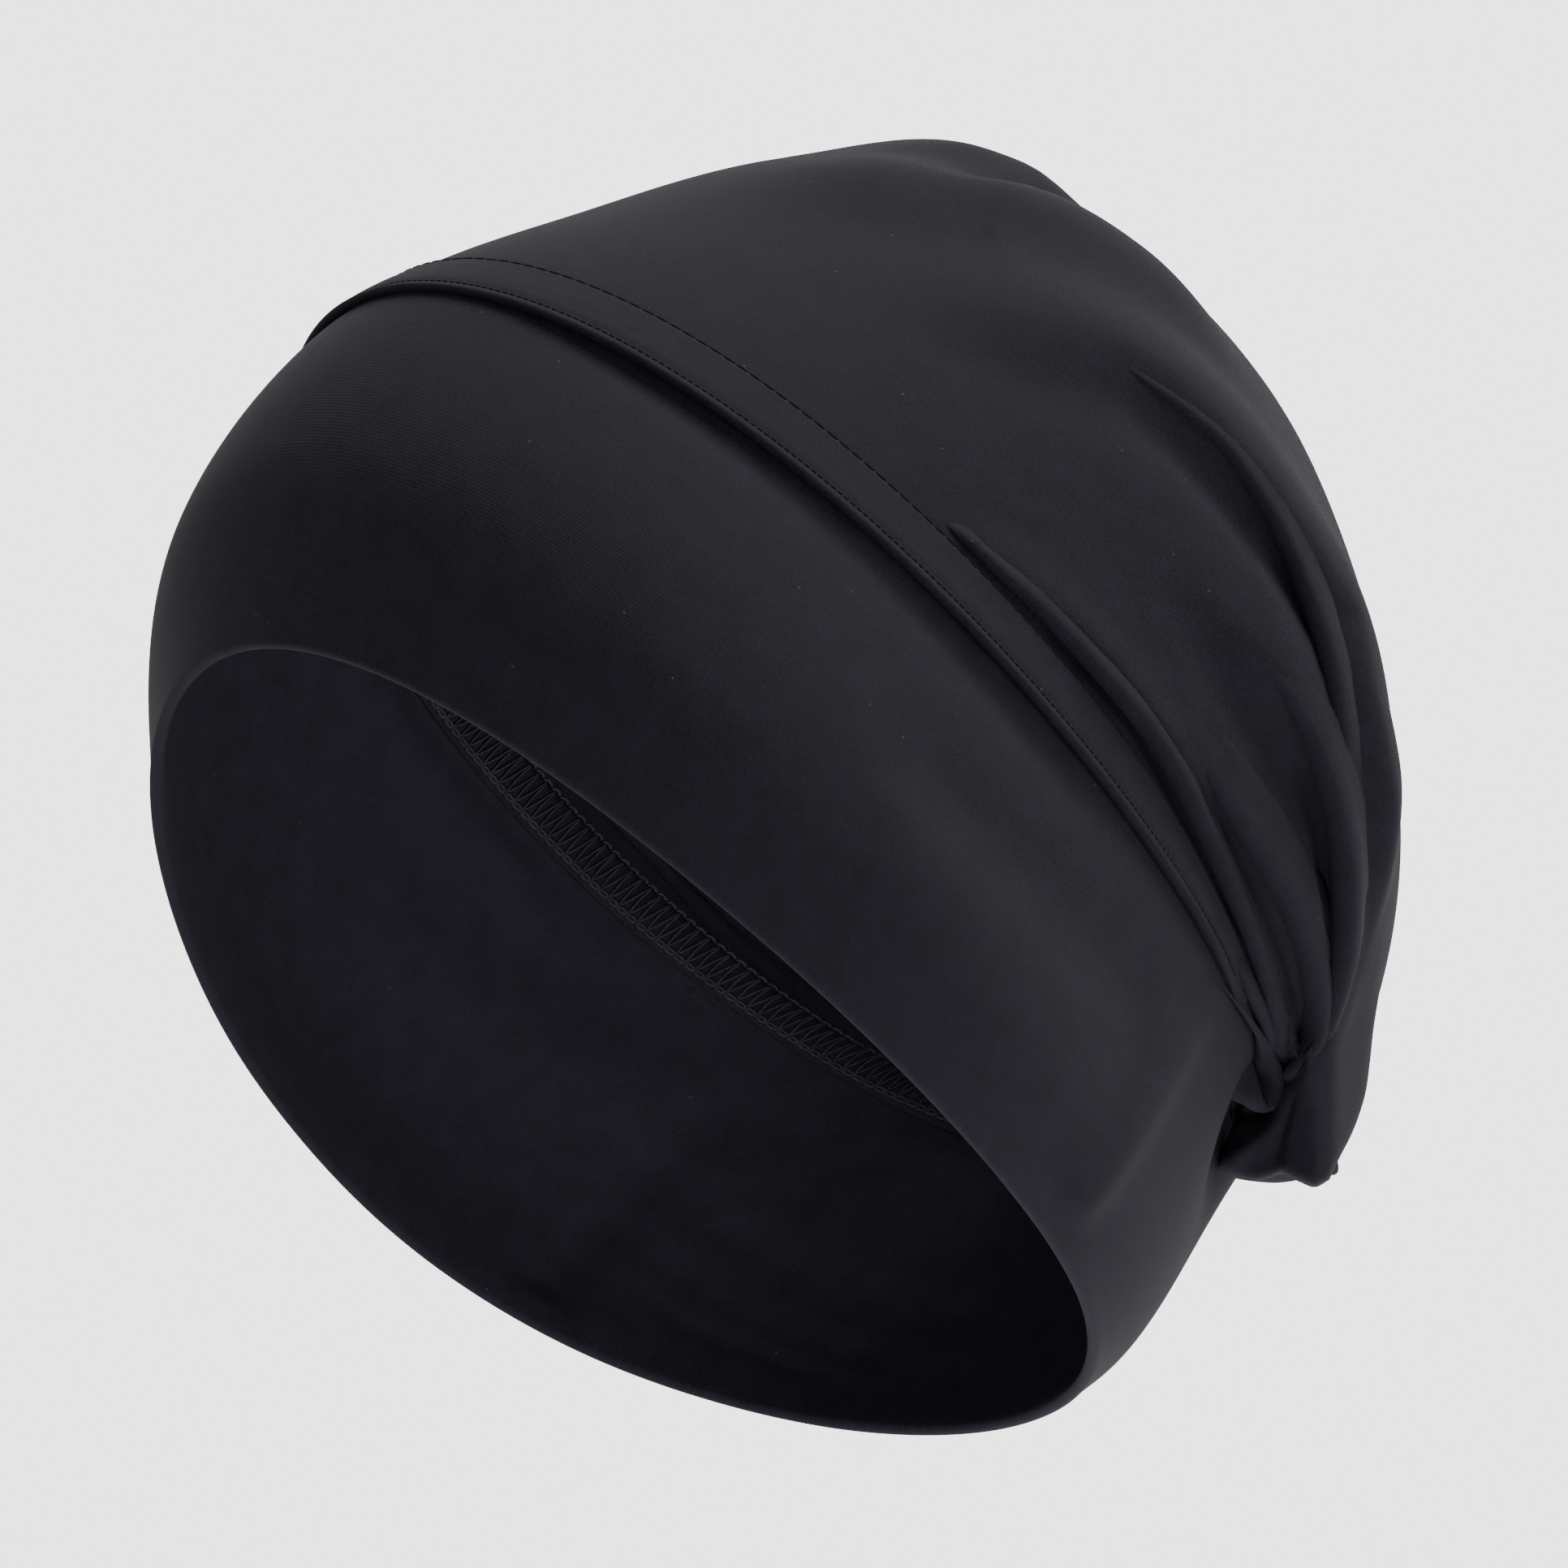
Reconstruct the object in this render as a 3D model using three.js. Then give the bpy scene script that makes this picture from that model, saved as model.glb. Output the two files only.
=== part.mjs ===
// Turban cap in thin stretch knit, in the shape it takes when worn.
// A wide double band goes round the head, a slouched crown is gathered into it on both
// sides of the nape, a hem strip covers their seam outside and its allowance shows inside,
// turned up over the crown.
// Millimetres, +Z up, -Y towards the forehead, +X towards the wearer's left ear.
// The origin is the centre of the head opening.

import * as THREE from 'three';
import { mergeVertices } from 'three/addons/utils/BufferGeometryUtils.js';

// Driving sizes
const headLength = 196; // head opening from forehead to nape
const headWidth = 157; // head opening from side to side
const rimTilt = 36.5; // degrees that the opening leans, nape below forehead
const bandDepth = 68; // from the rim to the seam
const crownRise = 118; // from the seam to the highest loop of the crown
const bagReach = 19; // how far the slouched crown hangs back past the nape seam
const bandWall = 2.2; // band, folded double
const crownWall = 1.3; // crown, one layer with its face and back
const stripWidth = 9; // hem strip above the seam
const stripOverhang = 2.5; // hem strip below the seam
const stripWall = 1.1;
const allowanceBelow = 1; // seam allowance inside, over the band
const allowanceAbove = 6; // and over the crown
const allowanceWall = 1.8;
const clearance = 0.3; // between neighbouring pieces
const foldHeight = 5; // a full fold above the crown's plain surface
const tailDrop = 14; // how far the gathered end hangs over the band
const tailFlare = 7; // how far that end stands off the band
const pouchFullness = 9; // how far the bag swells between the gathers
const pouchLift = 1; // how far it is drawn up there
const mostLoops = 0.3; // limit for a length from the seam, in loops

// Where the folds meet on the seam, in the opening's own plane
const gather = {
  angle: 140, // degrees round the head from the forehead
  out: 0.59, // share of half the head width
  back: 0.86, // share of half the head length
  up: 0.95, // share of the band's depth
  spread: 24, // degrees
};

// Loops of the surface, from the rim to the pole of the crown.
// front and back: shares of half the head length on the band. On the crown front stays so,
// and back is the share of bagReach behind the nape seam.
// frontUp and backUp: shares of bandDepth on the band, on the crown of crownRise above it.
// width: share of half the head width. egg narrows the front, dip lowers the sides in
// shares of the head length, and pinch draws the loop to the gathers.
const bandLoops = [
  { front: -1, frontUp: 0, back: 1, backUp: 0, width: 1, egg: 0.11, dip: 0.058, pinch: 0 },
  { front: -1.165, frontUp: 0.44, back: 1.065, backUp: 0.28, width: 1.055, egg: 0.01, dip: 0.05, pinch: 0 },
  { front: -1.15, frontUp: 1, back: 1.116, backUp: 0.96, width: 0.911, egg: -0.045, dip: 0.027, pinch: 0 },
];
const crownLoops = [
  { front: -0.937, frontUp: 0.353, back: 0.05, backUp: -0.01, width: 0.912, egg: -0.02, dip: 0.02, pinch: 0.5 },
  { front: -0.69, frontUp: 0.675, back: 0.17, backUp: 0.01, width: 0.91, egg: 0, dip: 0, pinch: 0.6 },
  { front: -0.39, frontUp: 0.875, back: 0.66, backUp: 0.1, width: 0.82, egg: 0, dip: 0, pinch: 0.5 },
  { front: 0.12, frontUp: 1, back: 1, backUp: 0.144, width: 0.54, egg: 0, dip: 0, pinch: 0.3 },
  { front: 0.6, frontUp: 0.75, back: 0.3, backUp: 0.26, width: 0.37, egg: 0, dip: 0, pinch: 0.1 },
  { front: 0.92, frontUp: 0.5, back: -1, backUp: 0.5, width: 0, egg: 0, dip: 0, pinch: 0 },
];

// Folds of the crown, each a ridge along a curve through three places. A place is an angle
// round the head in degrees and a loop number. rise is a share of foldHeight, spread the
// half width in loops, and dent the share of the rise that the valley below it sinks.
const folds = [
  { from: [74, 2.5], by: [106, 2.62], to: [138, 2.5], rise: 0.45, spread: 0.16, dent: 0.5 },
  { from: [88, 2.75], by: [114, 3.3], to: [140, 2.9], rise: 0.8, spread: 0.24, dent: 0.6 },
  { from: [76, 3.7], by: [112, 4.3], to: [148, 3.4], rise: 1.3, spread: 0.34, dent: 0.6 },
  { from: [44, 4.1], by: [82, 4.75], to: [128, 4.9], rise: 1.0, spread: 0.34, dent: 0.7 },
  { from: [0, 3.7], by: [0, 4.7], to: [0, 5.8], rise: 0.8, spread: 0.6, dent: 0.4 },
  { from: [32, 3.5], by: [36, 4.2], to: [44, 5.2], rise: 0.5, spread: 0.4, dent: 0 },
  { from: [132, 5.2], by: [150, 4.5], to: [164, 3.6], rise: 0.6, spread: 0.4, dent: 0.4 },
];
const degreesPerLoop = 28; // round the head, about as long as the step between two loops

// A fold's section in its spreads: the ridge's reach to the pole and to the rim, and where
// its valley lies on the rim's side and how wide that is
const ridgeReach = { poleSide: 1.5, rimSide: 0.8 };
const valleyAt = { away: 1.5, width: 0.7 };
// Shares of a fold's length in which it rises and dies out
const foldStart = 0.35;
const foldEnd = 0.15;
// Loops above the seam where folds begin and are full, and below the pole where they fade
const foldsBegin = [0.25, 0.6];
const foldsFade = 2;
const foldSteps = 14; // straight pieces of a fold's curve

// Where the crown hangs out and down beside each gather. loop and span are loop numbers,
// angle and spread degrees, and flare and drop millimetres.
const drapes = [
  { angle: 148, spread: 14, loop: 2.75, span: 0.4, flare: tailFlare, drop: tailDrop },
  { angle: 164, spread: 15, loop: 3.6, span: 1.1, flare: pouchFullness, drop: -pouchLift },
];

// How finely the faces follow the surface
const foldZoneStep = 4; // degrees, where the folds lie
const plainStep = 7.5; // degrees, over the forehead and the nape
const foldZone = [44, 160]; // degrees on each side
const bandRows = 5;
const foldRows = 15;
const poleRows = 7;
const foldLoopEnd = 5; // the loop where the fold rows end
const stripNarrows = 96; // degrees on each side where the hem strip starts to narrow
const stripEnd = 128; // degrees on each side where it runs out in the gathers
const surfaceStep = 0.02; // loops between the places that a direction is taken from
const surfaceTurn = 0.5; // degrees between them
const tiny = 1e-4; // millimetres under which two corners are one

const cloth = { color: 0x25252c, roughness: 0.86, metalness: 0 };
const seamCloth = { color: 0x1f1f26, roughness: 0.9, metalness: 0 };

const { clamp, degToRad, euclideanModulo, smoothstep } = THREE.MathUtils;
const seamLoop = bandLoops.length - 1;
const poleLoop = seamLoop + crownLoops.length;
const tilt = degToRad(rimTilt);

// A place in the opening's own frame, along it and square to it, turned to the part's frame
function fromOpening(x, along, up) {
  return new THREE.Vector3(
    x,
    along * Math.cos(tilt) + up * Math.sin(tilt),
    up * Math.cos(tilt) - along * Math.sin(tilt),
  );
}

// A loop as the numbers that the surface runs through, in millimetres
function loopRow(loop, frontRise, backAlong, backRise) {
  const half = headLength / 2;
  const halfWidth = (loop.width * headWidth) / 2;
  return [loop.front * half, frontRise, backAlong, backRise, halfWidth, loop.egg, loop.dip * headLength, loop.pinch];
}

// The tables' loops in millimetres. At the pole the front and the back are one place.
function measuredLoops() {
  const half = headLength / 2;
  const napeSeam = bandLoops[seamLoop].back * half;
  const onBand = bandLoops.map((loop) => (
    loopRow(loop, loop.frontUp * bandDepth, loop.back * half, loop.backUp * bandDepth)
  ));
  const rise = (share) => bandDepth + share * crownRise;
  const onCrown = crownLoops.map((loop) => (
    loopRow(loop, rise(loop.frontUp), napeSeam + loop.back * bagReach, rise(loop.backUp))
  ));
  const pole = onCrown[onCrown.length - 1];
  pole[2] = pole[0];
  pole[3] = pole[1];
  return [...onBand, ...onCrown];
}

// The loops with one more before the rim and one past the pole, for the smooth curve
function extendedLoops() {
  const rows = measuredLoops();
  const before = rows[0].map((value, k) => 2 * value - rows[1][k]);
  const [a, b, c, d, width, egg, dip, pinch] = rows[poleLoop - 1];
  return [before, ...rows, [c, d, a, b, -width, egg, dip, pinch]];
}

const loopTable = extendedLoops();

// Values of the loop at a number between two table rows
function loopAt(v) {
  const i = clamp(Math.floor(v), 0, poleLoop - 1);
  const t = v - i;
  const [p0, p1, p2, p3] = [0, 1, 2, 3].map((k) => loopTable[i + k]);
  return p1.map((value, k) => 0.5 * (2 * value + (p2[k] - p0[k]) * t
    + (2 * p0[k] - 5 * value + 4 * p2[k] - p3[k]) * t ** 2
    + (3 * value - p0[k] - 3 * p2[k] + p3[k]) * t ** 3));
}

// A place on a fold's curve, in loops both ways
function foldPlace(fold, t) {
  return [0, 1].map((k) => {
    const scale = k === 0 ? degreesPerLoop : 1;
    const [start, middle, end] = [fold.from[k] / scale, fold.by[k] / scale, fold.to[k] / scale];
    const pull = 2 * middle - (start + end) / 2;
    return start * (1 - t) ** 2 + 2 * pull * t * (1 - t) + end * t ** 2;
  });
}

// The signed distance, in loops, from a place to a fold's curve, and the share along it
function offsetFromFold(fold, angle, v) {
  let best = { distance: Infinity, share: 0 };
  const here = [angle / degreesPerLoop, v];
  for (let s = 0; s < foldSteps; s += 1) {
    const start = foldPlace(fold, s / foldSteps);
    const end = foldPlace(fold, (s + 1) / foldSteps);
    const run = [end[0] - start[0], end[1] - start[1]];
    const gone = [here[0] - start[0], here[1] - start[1]];
    const along = (gone[0] * run[0] + gone[1] * run[1]) / (run[0] ** 2 + run[1] ** 2);
    const t = clamp(along, 0, 1);
    const miss = Math.hypot(gone[0] - t * run[0], gone[1] - t * run[1]);
    if (miss < Math.abs(best.distance)) {
      const side = Math.sign(run[0] * gone[1] - run[1] * gone[0]) || 1;
      best = { distance: side * miss, share: (s + t) / foldSteps };
    }
  }
  return best;
}

// How far the folds lift the crown at a place
function foldLift(angle, v) {
  const away = Math.abs(angle);
  let lift = 0;
  for (const fold of folds) {
    const { distance, share } = offsetFromFold(fold, away, v);
    const x = distance / fold.spread;
    const reach = x > 0 ? ridgeReach.poleSide : ridgeReach.rimSide;
    const ridge = Math.exp(-((x / reach) ** 2));
    const valley = fold.dent * Math.exp(-(((x + valleyAt.away) / valleyAt.width) ** 2));
    const ends = smoothstep(share, 0, foldStart) * smoothstep(1 - share, 0, foldEnd);
    lift += foldHeight * fold.rise * ends * (ridge - valley);
  }
  const above = v - seamLoop;
  return lift * smoothstep(above, ...foldsBegin) * smoothstep(poleLoop - v, 0, foldsFade);
}

// Degrees from an angle to another, the short way round
function turnBetween(angle, other) {
  return Math.abs(euclideanModulo(angle - other + 180, 360) - 180);
}

// What a drape on one side adds at a place
function hang(drape, side, angle, v) {
  const round = Math.exp(-((turnBetween(angle, side * drape.angle) / drape.spread) ** 2));
  const along = Math.exp(-(((v - drape.loop) / drape.span) ** 2));
  const amount = round * along * smoothstep(v - seamLoop, 0, 0.3);
  const turn = degToRad(drape.angle);
  return new THREE.Vector3(side * Math.sin(turn), -Math.cos(turn), 0)
    .multiplyScalar(drape.flare * amount)
    .add(new THREE.Vector3(0, 0, -drape.drop * amount));
}

// The surface without its folds. angle is in degrees, 0 over the forehead.
function plainPoint(angle, v) {
  const [frontAlong, frontUp, backAlong, backUp, half, egg, dip, pinch] = loopAt(v);
  const c = Math.cos(degToRad(angle));
  const s = Math.sin(degToRad(angle));
  const along = (frontAlong - backAlong) / 2;
  const up = (frontUp - backUp) / 2;
  const length = Math.max(Math.hypot(along, up), 1e-6);
  const sag = dip * s ** 2;
  const point = fromOpening(
    half * (1 - egg * c) * s,
    (frontAlong + backAlong) / 2 + along * c - (sag * up) / length,
    (frontUp + backUp) / 2 + up * c + (sag * along) / length,
  );
  for (const side of [1, -1]) {
    const away = turnBetween(angle, side * gather.angle);
    const draw = pinch * Math.exp(-((away / gather.spread) ** 2));
    const anchor = fromOpening(
      (side * gather.out * headWidth) / 2,
      (gather.back * headLength) / 2,
      gather.up * bandDepth,
    );
    point.lerp(anchor, draw);
    if (v > seamLoop) drapes.forEach((drape) => point.add(hang(drape, side, angle, v)));
  }
  return point;
}

function foldedPoint(angle, v) {
  const point = plainPoint(angle, v);
  if (v <= seamLoop) return point;
  const lift = foldLift(euclideanModulo(angle + 180, 360) - 180, v);
  return lift === 0 ? point : point.addScaledVector(outward(plainPoint, angle, v), lift);
}

// The outward direction of a surface at a place. At the pole it is square to a low loop.
function outward(surface, angle, v) {
  if (v > poleLoop - 1.5 * surfaceStep) {
    const low = poleLoop - mostLoops;
    const along = surface(0, low).sub(surface(180, low));
    const across = surface(90, low).sub(surface(-90, low));
    return along.cross(across).normalize();
  }
  const round = surface(angle + surfaceTurn, v).sub(surface(angle - surfaceTurn, v));
  const over = surface(angle, v + surfaceStep).sub(surface(angle, v - surfaceStep));
  return round.cross(over).normalize();
}

// A place at a depth below the folded surface, negative above it
function placeAt(angle, v, depth) {
  return foldedPoint(angle, v).addScaledVector(outward(foldedPoint, angle, v), -depth);
}

// A length along the surface from the seam, turned into loops
function loopsFor(angle, length) {
  const side = length < 0 ? -surfaceStep : surfaceStep;
  const run = plainPoint(angle, seamLoop + side).distanceTo(plainPoint(angle, seamLoop));
  return clamp((length * surfaceStep) / run, -mostLoops, mostLoops);
}

// The crown's lowest levels, which the hem strip lies on
function levelsUnderStrip(angle) {
  const start = seamLoop + loopsFor(angle, clearance);
  const width = stripWidth * (1 - smoothstep(Math.abs(angle), stripNarrows, stripEnd) / 2);
  const end = seamLoop + loopsFor(angle, width);
  return [start, (start + end) / 2, end];
}

// The stations round the head, closer together where the folds lie
function stations() {
  const half = [];
  const [zoneStart, zoneEnd] = foldZone;
  const spans = [
    [0, zoneStart, plainStep],
    [zoneStart, zoneEnd, foldZoneStep],
    [zoneEnd, 180, plainStep],
  ];
  for (const [start, end, step] of spans) {
    const count = Math.ceil((end - start) / step);
    for (let i = 0; i < count; i += 1) half.push(start + ((end - start) * i) / count);
  }
  return [...half, 180, ...half.slice(1).reverse().map((angle) => -angle)];
}

// A closed body over sections of equal length, one at each station. Each section runs
// round the wall. Without a closed ring, the first and last section are its end faces.
function wallOf(sections, closedRing, closedSection) {
  const corners = [];
  const addFace = (a, b, c) => {
    const shortest = Math.min(a.distanceTo(b), b.distanceTo(c), c.distanceTo(a));
    if (shortest > tiny) corners.push(...a.toArray(), ...b.toArray(), ...c.toArray());
  };
  const count = sections.length;
  const length = sections[0].length;
  const last = closedRing ? count : count - 1;
  for (let i = 0; i < last; i += 1) {
    const here = sections[i];
    const next = sections[(i + 1) % count];
    const faces = closedSection ? length : length - 1;
    for (let k = 0; k < faces; k += 1) {
      const m = (k + 1) % length;
      addFace(here[k], next[k], next[m]);
      addFace(here[k], next[m], here[m]);
    }
  }
  if (!closedRing) {
    for (let k = 1; k < length - 1; k += 1) {
      addFace(sections[0][0], sections[0][k], sections[0][k + 1]);
      addFace(sections[count - 1][0], sections[count - 1][k + 1], sections[count - 1][k]);
    }
  }
  const geometry = new THREE.BufferGeometry();
  geometry.setAttribute('position', new THREE.Float32BufferAttribute(corners, 3));
  const merged = mergeVertices(geometry, tiny);
  merged.computeVertexNormals();
  return merged;
}

function piece(name, geometry, finish) {
  const mesh = new THREE.Mesh(geometry, new THREE.MeshStandardMaterial(finish));
  mesh.name = name;
  return mesh;
}

const ring = stations();

// Even steps from a number to another, both with them
function between(start, end, count) {
  return Array.from({ length: count + 1 }, (_, i) => start + ((end - start) * i) / count);
}

// The double band, with its folded edge round at the rim
function makeBand() {
  const roundness = bandWall / 3;
  const sections = ring.map((angle) => {
    const levels = [
      ...between(0, seamLoop + loopsFor(angle, -2 * stripOverhang), bandRows),
      seamLoop + loopsFor(angle, -stripOverhang),
      seamLoop,
    ];
    const outside = levels.map((v) => placeAt(angle, v, 0));
    const inside = levels.map((v) => placeAt(angle, v, bandWall)).reverse();
    const middle = placeAt(angle, 0, bandWall / 2);
    const down = middle.clone().sub(placeAt(angle, surfaceStep, bandWall / 2));
    const edge = down.setLength(roundness).add(middle);
    return [edge, ...outside, ...inside];
  });
  return piece('band', wallOf(sections, true, true), cloth);
}

// The crown in one layer, from the seam to its pole
function makeCrown() {
  const sections = ring.map((angle) => {
    const [start, middle, end] = levelsUnderStrip(angle);
    const levels = [
      start, middle,
      ...between(end, foldLoopEnd, foldRows),
      ...between(foldLoopEnd, poleLoop, poleRows).slice(1),
    ];
    const outside = levels.map((v) => placeAt(angle, v, 0)).reverse();
    const inside = levels.map((v) => placeAt(angle, v, crownWall));
    return [...outside, ...inside].reverse();
  });
  return piece('crown', wallOf(sections, true, false), cloth);
}

// The hem strip over the seam, open at the nape where the gathers cover its ends
function makeStrip() {
  const front = ring.filter((angle) => Math.abs(angle) <= stripEnd).sort((a, b) => a - b);
  const sections = front.map((angle) => {
    const levels = [seamLoop + loopsFor(angle, -stripOverhang), ...levelsUnderStrip(angle)];
    const outside = levels.map((v) => placeAt(angle, v, -clearance - stripWall));
    const inside = levels.map((v) => placeAt(angle, v, -clearance)).reverse();
    return [...outside, ...inside];
  });
  return piece('hem_strip', wallOf(sections, false, true), seamCloth);
}

// The overlocked seam allowance inside, turned up over the crown
function makeAllowance() {
  const depth = Math.max(bandWall, crownWall) + clearance;
  const sections = ring.map((angle) => {
    const levels = between(-allowanceBelow, allowanceAbove, 3).map((run) => seamLoop + loopsFor(angle, run));
    const outside = levels.map((v) => placeAt(angle, v, depth));
    const inside = levels.map((v) => placeAt(angle, v, depth + allowanceWall)).reverse();
    return [...outside, ...inside];
  });
  return piece('inner_seam', wallOf(sections, true, true), seamCloth);
}

const cap = new THREE.Group();
cap.add(makeBand(), makeCrown(), makeStrip(), makeAllowance());

export default cap;
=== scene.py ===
# turban cap in thin black stretch knit, worn shape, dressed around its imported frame
import math

import bpy
import numpy as np
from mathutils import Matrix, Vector
from mathutils.bvhtree import BVHTree


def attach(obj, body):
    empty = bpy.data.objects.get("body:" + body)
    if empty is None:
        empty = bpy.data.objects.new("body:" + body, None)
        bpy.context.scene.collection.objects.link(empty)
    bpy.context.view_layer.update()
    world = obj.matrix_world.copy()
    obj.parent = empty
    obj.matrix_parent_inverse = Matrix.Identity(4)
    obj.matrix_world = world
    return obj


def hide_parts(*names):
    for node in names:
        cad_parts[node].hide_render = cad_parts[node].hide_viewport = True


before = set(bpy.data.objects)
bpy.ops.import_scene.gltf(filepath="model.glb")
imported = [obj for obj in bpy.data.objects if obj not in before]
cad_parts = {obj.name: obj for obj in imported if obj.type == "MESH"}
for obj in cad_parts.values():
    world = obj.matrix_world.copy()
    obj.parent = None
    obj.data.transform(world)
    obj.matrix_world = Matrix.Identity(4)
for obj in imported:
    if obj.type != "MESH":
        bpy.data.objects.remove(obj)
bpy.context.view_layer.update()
print("frame:", ", ".join(sorted(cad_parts)))

mm = 0.001


# camera, lights and floor

view = {
    "azimuth": 53.0,  # degrees round from the forehead
    "elevation": -9.0,
    "distance": 1.2,
    "aim": (0.0220, 0.0177, 0.0439),
    "lens": 165.6,
    "sensor": 36.0,
}


def wayFrom(azimuth, elevation):
    a, e = math.radians(azimuth), math.radians(elevation)
    return Vector((math.sin(a) * math.cos(e), -math.cos(a) * math.cos(e), math.sin(e)))


def makeCamera():
    data = bpy.data.cameras.new("camera")
    data.lens, data.sensor_width = view["lens"], view["sensor"]
    data.clip_start, data.clip_end = 0.05, 60
    obj = bpy.data.objects.new("camera", data)
    bpy.context.collection.objects.link(obj)
    obj.location = wayFrom(view["azimuth"], view["elevation"]) * view["distance"]
    obj.rotation_euler = (Vector(view["aim"]) - obj.location).to_track_quat("-Z", "Y").to_euler()
    bpy.context.scene.camera = obj


lamps = {
    # name: azimuth, elevation, distance, size, power, colour
    "topSoft": (118, 68, 1.5, 0.9, 180, (1.0, 0.98, 0.97)),
    "frontSoft": (-14, 24, 2.0, 1.0, 14, (0.96, 0.97, 1.0)),
    "insideSoft": (60, -68, 0.44, 0.3, 9, (1.0, 0.99, 0.99)),
    "eyeSoft": (60, -16, 1.3, 0.8, 4, (1.0, 0.98, 0.98)),
    "crownInside": (90, -20, 0.05, 0.05, 0.45, (1.0, 0.99, 0.99)),
    "backLow": (138, -20, 1.5, 0.5, 90, (1.0, 0.94, 0.94)),
}


def makeLamps():
    centre = Vector((0, 0.04, 0.05))
    for name, (azimuth, elevation, distance, size, power, colour) in lamps.items():
        data = bpy.data.lights.new(name, "AREA")
        data.shape, data.size, data.energy, data.color = "DISK", size, power, colour
        obj = bpy.data.objects.new(name, data)
        bpy.context.collection.objects.link(obj)
        obj.location = centre + wayFrom(azimuth, elevation) * distance
        obj.rotation_euler = (centre - obj.location).to_track_quat("-Z", "Y").to_euler()


stage = {"floorZ": -0.42, "floorRadius": 9.0, "white": (0.93, 0.93, 0.93), "worldStrength": 3.2}


def makeStage():
    world = bpy.data.worlds.new("studio")
    bpy.context.scene.world = world
    world.use_nodes = True
    back = world.node_tree.nodes["Background"]
    back.inputs["Color"].default_value = (1, 1, 1, 1)
    back.inputs["Strength"].default_value = stage["worldStrength"]
    bpy.ops.object.select_all(action="DESELECT")
    bpy.ops.mesh.primitive_circle_add(
        vertices=96, radius=stage["floorRadius"], fill_type="NGON", location=(0, 0, stage["floorZ"]))
    floor = bpy.context.object
    floor.name = "floor"
    bpy.ops.object.transform_apply(location=True, rotation=True, scale=True)
    mat = bpy.data.materials.new("paleFloor")
    mat.use_nodes = True
    shader = mat.node_tree.nodes["Principled BSDF"]
    shader.inputs["Base Color"].default_value = (*stage["white"], 1)
    shader.inputs["Roughness"].default_value = 0.9
    floor.data.materials.append(mat)


makeCamera()
makeLamps()
makeStage()
print("stage set")


# the cap's surface: an angle round the head in degrees, 0 over the forehead, and a loop
# number from 0 at the rim over 2 at the seam to 8 at the pole, in millimetres

cap = {
    "headLength": 196.0,
    "headWidth": 157.0,
    "rimTilt": 36.5,
    "bandDepth": 68.0,
    "crownRise": 118.0,
    "bagReach": 19.0,
    "seam": 2,
    "pole": 8,
    # front, its height, back, its height, width, egg, dip, pinch
    "loops": (
        (-1.000, 0.000, 1.000, 0.000, 1.000, 0.110, 0.058, 0.0),
        (-1.165, 0.440, 1.065, 0.280, 1.055, 0.010, 0.050, 0.0),
        (-1.150, 1.000, 1.116, 0.960, 0.911, -0.045, 0.027, 0.0),
        (-0.937, 0.353, 0.050, -0.010, 0.912, -0.020, 0.020, 0.5),
        (-0.690, 0.675, 0.170, 0.010, 0.910, 0.000, 0.000, 0.6),
        (-0.390, 0.875, 0.660, 0.100, 0.820, 0.000, 0.000, 0.5),
        (0.120, 1.000, 1.000, 0.144, 0.540, 0.000, 0.000, 0.3),
        (0.600, 0.750, 0.300, 0.260, 0.370, 0.000, 0.000, 0.1),
        (0.920, 0.500, 0.000, 0.500, 0.000, 0.000, 0.000, 0.0),
    ),
    "degreesPerLoop": 28.0,
}
gather = {
    "angle": 140.0,
    # where the cloth is drawn to, in shares of the head's width and length and the band's depth
    "out": 0.59,
    "back": 0.86,
    "up": 0.95,
    "spread": 24.0,
    # the folds below are left out round here, and pleats lie in their place
    "smooth": 0.85,
    "smoothSpread": 20.0,
    "smoothLoop": 2.6,
    "smoothSpan": 0.9,
}
# where the crown hangs out and down beside each gather
drapes = (
    {"angle": 148.0, "spread": 14.0, "loop": 2.75, "span": 0.4, "flare": 7.0, "drop": 14.0},
    {"angle": 164.0, "spread": 15.0, "loop": 3.6, "span": 1.1, "flare": 9.0, "drop": -1.0},
)


# where the seam is drawn in beside the gathers
pucker = {"angle": 148.0, "spread": 9.0, "loop": 1.9, "span": 0.38, "inward": 7.0}


def smoothStep(x, low, high):
    t = np.clip((x - low) / (high - low), 0, 1)
    return t * t * (3 - 2 * t)


# a smooth curve from b to c, with a and d as its neighbours
def between(a, b, c, d, t):
    return 0.5 * (2 * b + (c - a) * t + (2 * a - 5 * b + 4 * c - d) * t**2 + (3 * b - a - 3 * c + d) * t**3)


def fromOpening(x, along, up):
    tilt = math.radians(cap["rimTilt"])
    y = along * math.cos(tilt) + up * math.sin(tilt)
    z = up * math.cos(tilt) - along * math.sin(tilt)
    return np.stack(np.broadcast_arrays(x, y, z), -1)


def measuredLoops():
    share = np.array(cap["loops"])
    half, seam = cap["headLength"] / 2, cap["seam"]
    band = np.arange(len(share)) <= seam  # the rows from the rim to the seam
    rows = share.copy()
    for k in (1, 3):
        crownUp = cap["bandDepth"] + share[:, k] * cap["crownRise"]
        rows[:, k] = np.where(band, share[:, k] * cap["bandDepth"], crownUp)
    rows[:, 0] = share[:, 0] * half
    bagBack = share[seam, 2] * half + share[:, 2] * cap["bagReach"]
    rows[:, 2] = np.where(band, share[:, 2] * half, bagBack)
    rows[:, 4] = share[:, 4] * cap["headWidth"] / 2
    rows[:, 6] = share[:, 6] * cap["headLength"]
    rows[-1, 2:4] = rows[-1, 0:2]
    first = 2 * rows[0] - rows[1]
    a = rows[-2]
    last = np.array([a[2], a[3], a[0], a[1], -a[4], *a[5:]])
    return np.vstack([first, rows, last])


loopTable = measuredLoops()


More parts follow.
